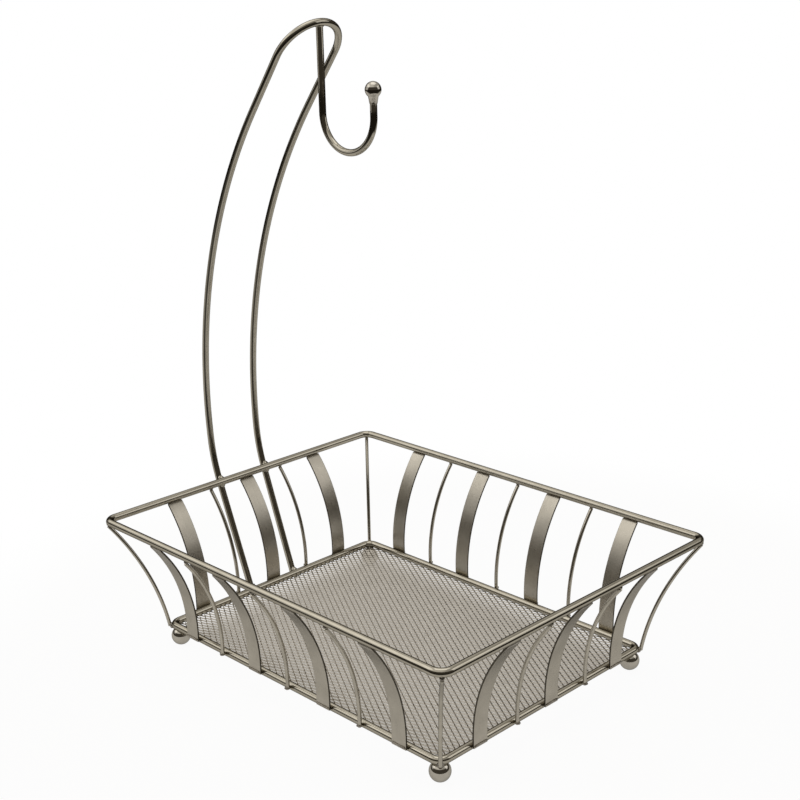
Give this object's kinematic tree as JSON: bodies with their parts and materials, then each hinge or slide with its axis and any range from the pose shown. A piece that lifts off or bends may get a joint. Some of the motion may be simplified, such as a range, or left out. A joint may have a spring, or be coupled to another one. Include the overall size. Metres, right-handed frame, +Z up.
{
  "type": "fruit basket with banana hanger",
  "caption": "Flared wire fruit basket of flat straps and thin wires on ball feet, with a diamond-mesh floor and a bowed wire hanger whose hook holds bananas.",
  "frame": {"origin": "on the surface the feet stand on, under the middle of the whole object's box", "axes": "+Z up, +X along the basket away from the hanger, +Y across the basket to its back"},
  "size_m": [0.317, 0.2374, 0.3981],
  "materials": {
    "heavy_wire": "satin nickel plate",
    "thin_wire": "satin nickel plate",
    "strap": "brushed nickel plate",
    "mesh": "dull nickel plate",
    "ball": "polished nickel plate"
  },
  "bodies": {
    "root": {"back_strap_1": "strap", "back_strap_2": "strap", "back_strap_3": "strap", "back_strap_4": "strap", "back_wire_1": "thin_wire", "back_wire_2": "thin_wire", "back_wire_3": "thin_wire", "ball_foot_back_far": "ball", "ball_foot_back_hanger": "ball", "ball_foot_front_far": "ball", "ball_foot_front_hanger": "ball", "base_ring": "heavy_wire", "corner_wire_back_far": "thin_wire", "corner_wire_back_hanger": "thin_wire", "corner_wire_front_far": "thin_wire", "corner_wire_front_hanger": "thin_wire", "far_end_strap_1": "strap", "far_end_strap_2": "strap", "far_end_strap_3": "strap", "far_end_wire_1": "thin_wire", "far_end_wire_2": "thin_wire", "floor_mesh": "mesh", "front_strap_1": "strap", "front_strap_2": "strap", "front_strap_3": "strap", "front_strap_4": "strap", "front_wire_1": "thin_wire", "front_wire_2": "thin_wire", "front_wire_3": "thin_wire", "hanger_arch": "heavy_wire", "hanger_end_strap_1": "strap", "hanger_end_strap_2": "strap", "hanger_end_strap_3": "strap", "hanger_end_wire_1": "thin_wire", "hanger_end_wire_2": "thin_wire", "hook_ball": "ball", "hook_wire": "heavy_wire", "rim_ring": "heavy_wire"}
  },
  "joints": []
}
